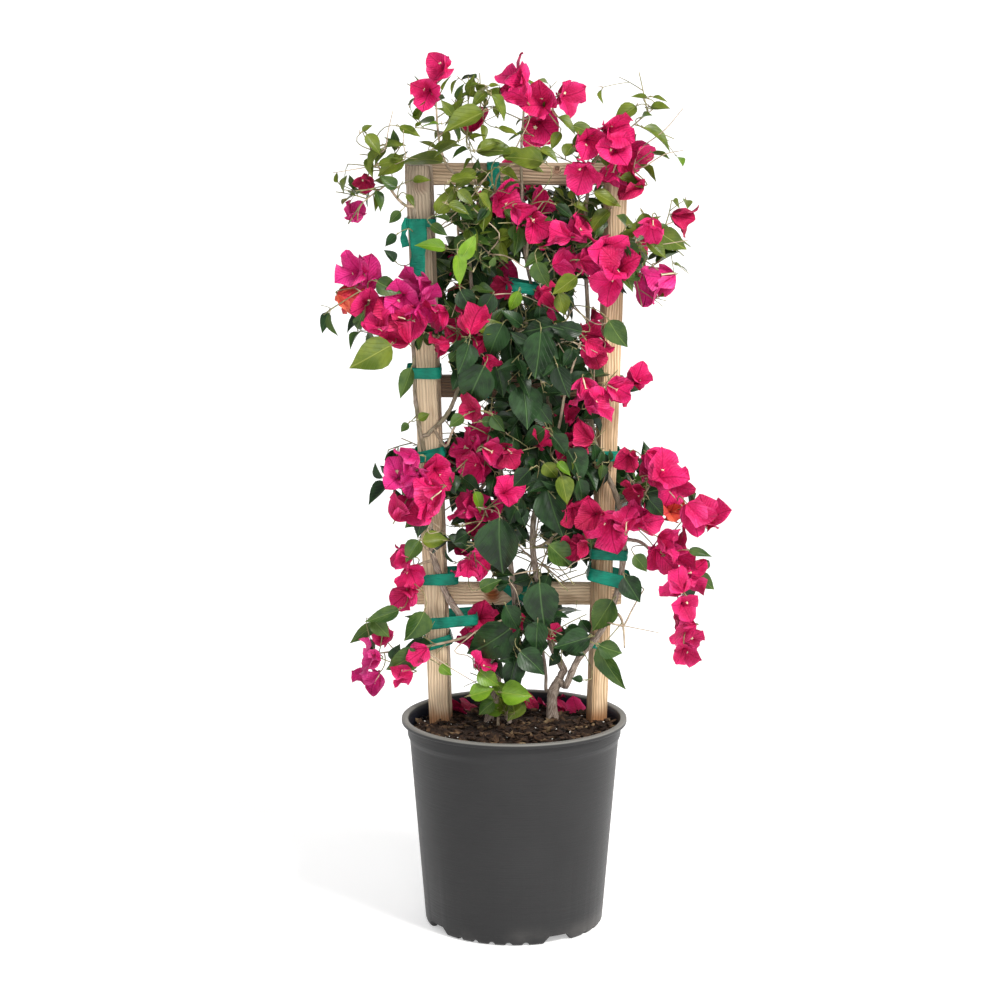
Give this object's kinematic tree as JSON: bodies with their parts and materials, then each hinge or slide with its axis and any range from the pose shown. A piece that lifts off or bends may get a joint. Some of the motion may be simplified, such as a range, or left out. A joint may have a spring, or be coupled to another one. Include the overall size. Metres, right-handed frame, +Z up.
{
  "type": "bougainvillea trained on a ladder trellis in a nursery pot",
  "caption": "Flowering bougainvillea with several thin woody stems tied to a small wooden ladder trellis, standing in a round tapered plastic nursery pot filled with potting mix.",
  "frame": {"origin": "middle of the pot's flat underside, at ground level", "axes": "+Z up; -Y towards the viewer of the plant's face; +X to that viewer's right"},
  "size_m": [0.4858, 0.3051, 1.0645],
  "materials": {
    "pot_plastic": "satin",
    "potting_mix": "rough",
    "timber": "rough sawn",
    "tie_tape": "glossy",
    "bark": "rough",
    "leaf": "satin",
    "young_leaf": "satin",
    "bract": "papery"
  },
  "bodies": {
    "root": {"pot": "pot_plastic", "soil": "potting_mix", "post_left": "timber", "post_right": "timber", "bar_low": "timber", "bar_mid": "timber", "bar_top": "timber", "tie_left_top": "tie_tape", "tie_left_upper": "tie_tape", "tie_left_middle": "tie_tape", "tie_left_bar": "tie_tape", "tie_left_lower": "tie_tape", "tie_left_foot": "tie_tape", "tie_right_upper": "tie_tape", "tie_right_middle": "tie_tape", "tie_right_bar": "tie_tape", "tie_bar_low": "tie_tape", "tie_bar_mid": "tie_tape", "tie_bar_top": "tie_tape", "trunk": "bark", "stem_left": "bark", "stem_centre": "bark", "stem_middle": "bark", "stem_thin": "bark", "stem_right": "bark", "limb_left_outer": "bark", "limb_left_inner": "bark", "limb_top": "bark", "bough_arch_high": "bark", "bough_arch_low": "bark", "foot_shoot": "young_leaf", "left_low": "leaf", "centre_low": "leaf", "left_middle_low": "leaf", "centre_lower_left": "leaf", "centre_lower_right": "leaf", "right_arch_high": "leaf", "right_arch_low": "leaf", "right_low": "leaf", "left_middle": "leaf", "centre_middle_left": "leaf", "centre_middle_right": "leaf", "right_middle": "leaf", "centre_upper": "leaf", "left_upper": "leaf", "left_upper_inner": "leaf", "left_top": "leaf", "crown_left": "leaf", "crown_middle": "leaf", "crown_right": "leaf", "right_upper": "leaf", "centre_top": "leaf", "left_top_inner": "leaf", "back_low": "leaf", "back_left": "leaf", "back_right": "leaf", "back_middle": "leaf", "back_upper": "leaf", "back_top": "leaf"}
  },
  "joints": []
}
